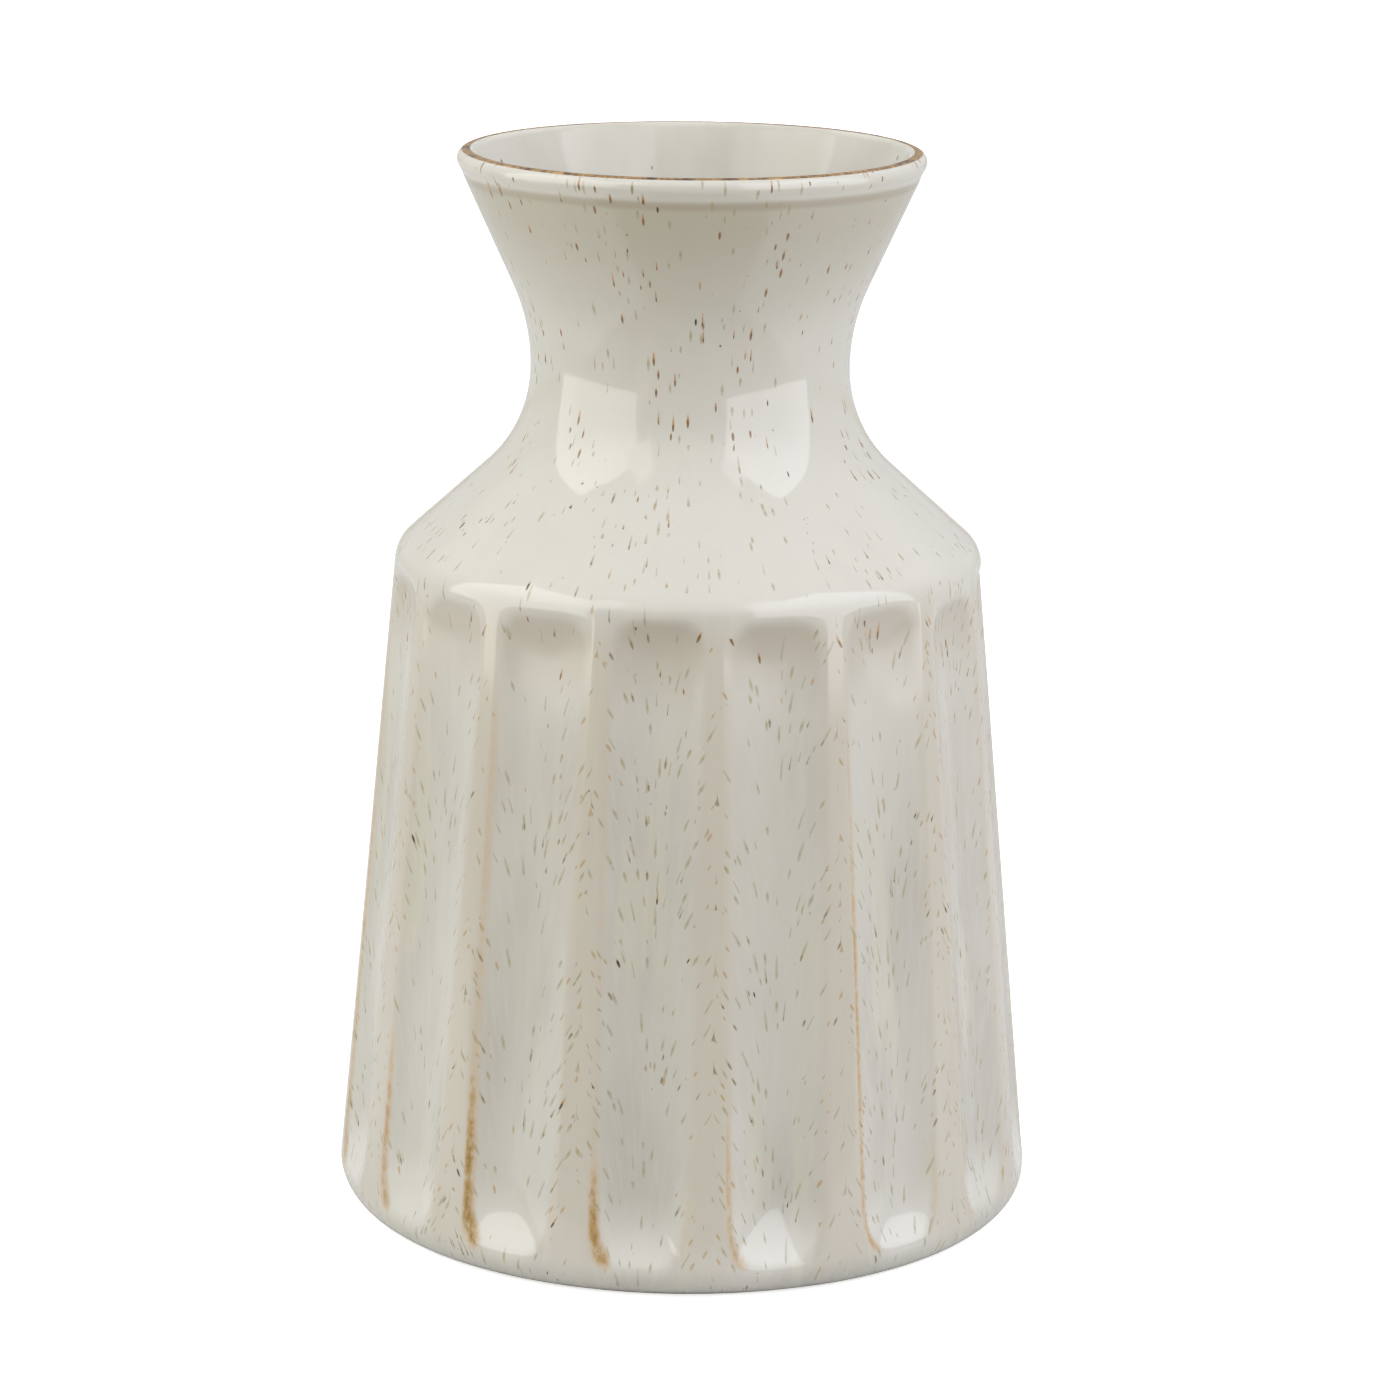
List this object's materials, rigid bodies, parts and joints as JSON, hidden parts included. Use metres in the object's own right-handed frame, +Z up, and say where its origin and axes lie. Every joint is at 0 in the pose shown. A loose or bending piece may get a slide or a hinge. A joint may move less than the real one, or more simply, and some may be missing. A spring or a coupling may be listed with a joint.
{
  "type": "fluted vase",
  "caption": "Glazed stoneware vase with a flared mouth, a narrow waist, a sloping shoulder and a slightly conical belly carved with upright flutes.",
  "frame": {"origin": "on the axis of the vase, in the plane that the foot ring rests on", "axes": "+Z up along the axis, towards the mouth; -Y towards the front"},
  "size_m": [0.132, 0.132, 0.2],
  "materials": {
    "stoneware_clay": "matt, iron-brown where it is bare on the lip and under the foot",
    "outer_glaze": "glossy greenish grey cream glaze that breaks to ochre on sharp edges",
    "inner_glaze": "glossy greenish grey cream glaze"
  },
  "bodies": {
    "root": {"stoneware_body": "stoneware_clay", "outer_glaze": "outer_glaze", "inner_glaze": "inner_glaze"}
  },
  "joints": []
}
